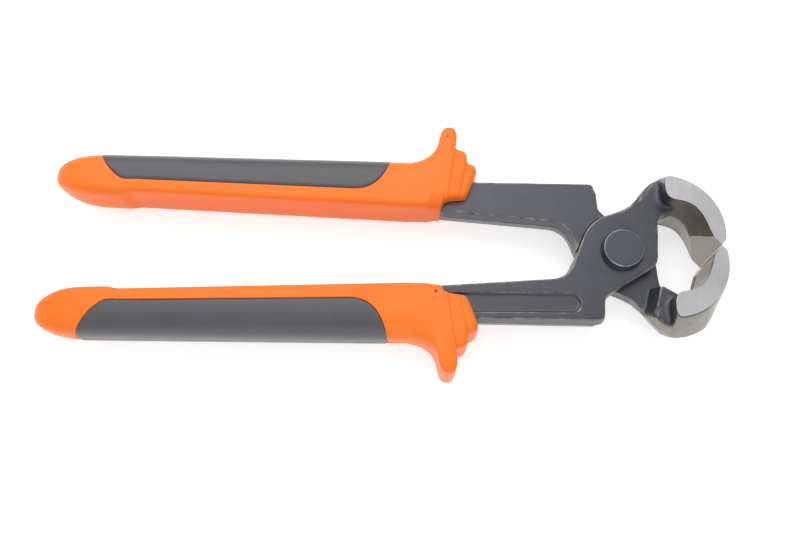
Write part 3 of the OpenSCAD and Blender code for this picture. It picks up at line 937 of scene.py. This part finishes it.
def grip(name, node, body, flip):
    """Hard moulding: pommel, handle with the inlay's bed sunk into it, guard and stepped collar."""
    swell_turns = np.radians(np.linspace(*POMMEL_TURNS, POMMEL_RINGS))
    rear_l = INLAY_REAR - GROOVE_W - GRIP_END
    rings = [grip_ring(GRIP_END + rear_l * (1 - math.cos(a)), 0, 0) for a in swell_turns]
    rings.append(grip_ring(INLAY_REAR - GROOVE_W, 0, 0))
    rings.append(grip_ring(INLAY_REAR - RIM_STEP, GROOVE_DEPTH, GROOVE_DEPTH))
    rings += [grip_ring(x, GROOVE_DEPTH, BED_DEPTH) for x in inlay_stations()]
    rings.append(grip_ring(INLAY_FRONT + RIM_STEP, GROOVE_DEPTH, GROOVE_DEPTH))
    rings += [grip_ring(x, 0, 0) for x in guard_stations()]
    points, faces = capped_rings(rings)
    points, strength = gate_marks(points)
    obj = raw_object(name, placed(points, flip), faces, [ORANGE])
    add_attribute(obj.data, "gate_mark", strength)
    finish_piece(obj, body, node)


def inlay(name, node, body, flip):
    """Soft moulding: it stands a little proud of its bed, and its edge rolls down into the groove."""
    rings = []
    for x in inlay_stations():
        bed, _, width = even_angles(x)
        along = np.linspace(0, width, BED_POINTS)
        to_end = min(x - INLAY_REAR, INLAY_FRONT - x)
        to_edge = np.minimum(np.minimum(along, width - along), to_end)
        depth = (INLAY_PROUD + INLAY_DROP) * np.exp(-to_edge / INLAY_ROLL) - INLAY_PROUD
        rings.append(np.concatenate([skin(x, bed, depth), skin(x, bed, BED_DEPTH - INLAY_GAP)[::-1]]))
    points, faces = capped_rings(rings)
    obj = raw_object(name, placed(points, flip), faces, [GREY])
    finish_piece(obj, body, node)


lever("upper_jaw_lever_detail", "upper_jaw_lever", UPPER_JAW_SIDE, False)
lever("lower_jaw_lever_detail", "lower_jaw_lever", LOWER_JAW_SIDE, True)
rivet()
grip("upper_grip_detail", "upper_grip", LOWER_JAW_SIDE, False)
grip("lower_grip_detail", "lower_grip", UPPER_JAW_SIDE, True)
inlay("upper_grip_inlay_detail", "upper_grip_inlay", LOWER_JAW_SIDE, False)
inlay("lower_grip_inlay_detail", "lower_grip_inlay", UPPER_JAW_SIDE, True)


# Studio
FLOOR_HALF = 3.0
FLOOR_SEEN = 0.6  # glow that only the camera sees, and glow that only reflections see
FLOOR_REFLECTED = 1.0
CEILING = 0.66  # brightness of the world overhead, and at the horizon and below
HORIZON = 0.68
# Softboxes: name, place, size and power
LAMPS = (("key", (-0.1, 0.45, 0.65), 0.7, 3.2), ("front", (0.0, -0.8, 0.3), 0.7, 1.5))
# Camera fitted to the photograph: tilt and roll in degrees,
# and the pivot's place from the eye in millimetres
TILT = -19.53
ROLL = -1.12
PIVOT_FROM_EYE = (65.94, 3.44, -257.8)
FOCAL_PX = 856.34
FRAME_W_PX = 800
SENSOR_W = 36.0


def floor_material():
    """White floor that keeps shadows; the camera and reflections see it brighter."""
    n = Nodes("floor_white")
    n.surface(Base_Color=(0.8, 0.8, 0.8), Roughness=0.9, Specular_IOR_Level=0.0)
    path = n.add("ShaderNodeLightPath")
    seen = n.math("MULTIPLY", path.outputs["Is Camera Ray"], FLOOR_SEEN)
    reflected = n.math("MAXIMUM", path.outputs["Is Glossy Ray"], path.outputs["Is Transmission Ray"])
    strength = n.math("ADD", seen, n.math("MULTIPLY", reflected, FLOOR_REFLECTED))
    glow = n.add("ShaderNodeEmission", Color=(1, 1, 1), Strength=strength)
    both = n.add("ShaderNodeAddShader")
    n.tree.links.new(n.bsdf.outputs[0], both.inputs[0])
    n.tree.links.new(glow.outputs[0], both.inputs[1])
    n.tree.links.new(both.outputs[0], n.tree.nodes["Material Output"].inputs["Surface"])
    return n.mat


def floor():
    s = FLOOR_HALF
    corners = [(-s, -s, 0), (s, -s, 0), (s, s, 0), (-s, s, 0)]
    obj = raw_object("floor", corners, [(0, 1, 2, 3)], [floor_material()])


def lamp(name, place, size, power):
    """A square softbox that faces the object."""
    data = bpy.data.lights.new(name, "AREA")
    data.size = size
    data.energy = power
    obj = bpy.data.objects.new(name, data)
    bpy.context.scene.collection.objects.link(obj)
    obj.location = place
    obj.rotation_euler = (-Vector(place)).to_track_quat("-Z", "Y").to_euler()


def turned(degrees, first, second):
    """Matrix that turns the first axis towards the second."""
    a = math.radians(degrees)
    matrix = np.eye(3)
    matrix[first, first] = math.cos(a)
    matrix[second, second] = math.cos(a)
    matrix[first, second] = -math.sin(a)
    matrix[second, first] = math.sin(a)
    return matrix


def camera():
    to_camera = turned(TILT, 1, 2) @ turned(ROLL, 0, 1)
    eye = placed([-to_camera.T @ np.array(PIVOT_FROM_EYE)])[0]
    data = bpy.data.cameras.new("camera")
    data.sensor_width = SENSOR_W
    data.lens = FOCAL_PX * SENSOR_W / FRAME_W_PX
    data.clip_start = 0.01
    obj = bpy.data.objects.new("camera", data)
    bpy.context.scene.collection.objects.link(obj)
    obj.matrix_world = Matrix.Translation(Vector(eye)) @ Matrix(to_camera.T.tolist()).to_4x4()
    bpy.context.scene.camera = obj


def world():
    """A nearly even white world, a little brighter at the horizon than overhead."""
    data = bpy.data.worlds.new("studio")
    bpy.context.scene.world = data
    data.use_nodes = True
    tree = data.node_tree
    coords = tree.nodes.new("ShaderNodeTexCoord")
    axes = tree.nodes.new("ShaderNodeSeparateXYZ")
    rise = tree.nodes.new("ShaderNodeMapRange")
    rise.inputs["To Min"].default_value = HORIZON
    rise.inputs["To Max"].default_value = CEILING
    back = tree.nodes["Background"]
    back.inputs["Color"].default_value = (1, 1, 1, 1)
    tree.links.new(coords.outputs["Generated"], axes.inputs["Vector"])
    tree.links.new(axes.outputs["Z"], rise.inputs["Value"])
    tree.links.new(rise.outputs["Result"], back.inputs["Strength"])


bpy.context.scene.view_settings.view_transform = "Standard"
floor()
world()
for values in LAMPS:
    lamp(*values)
camera()
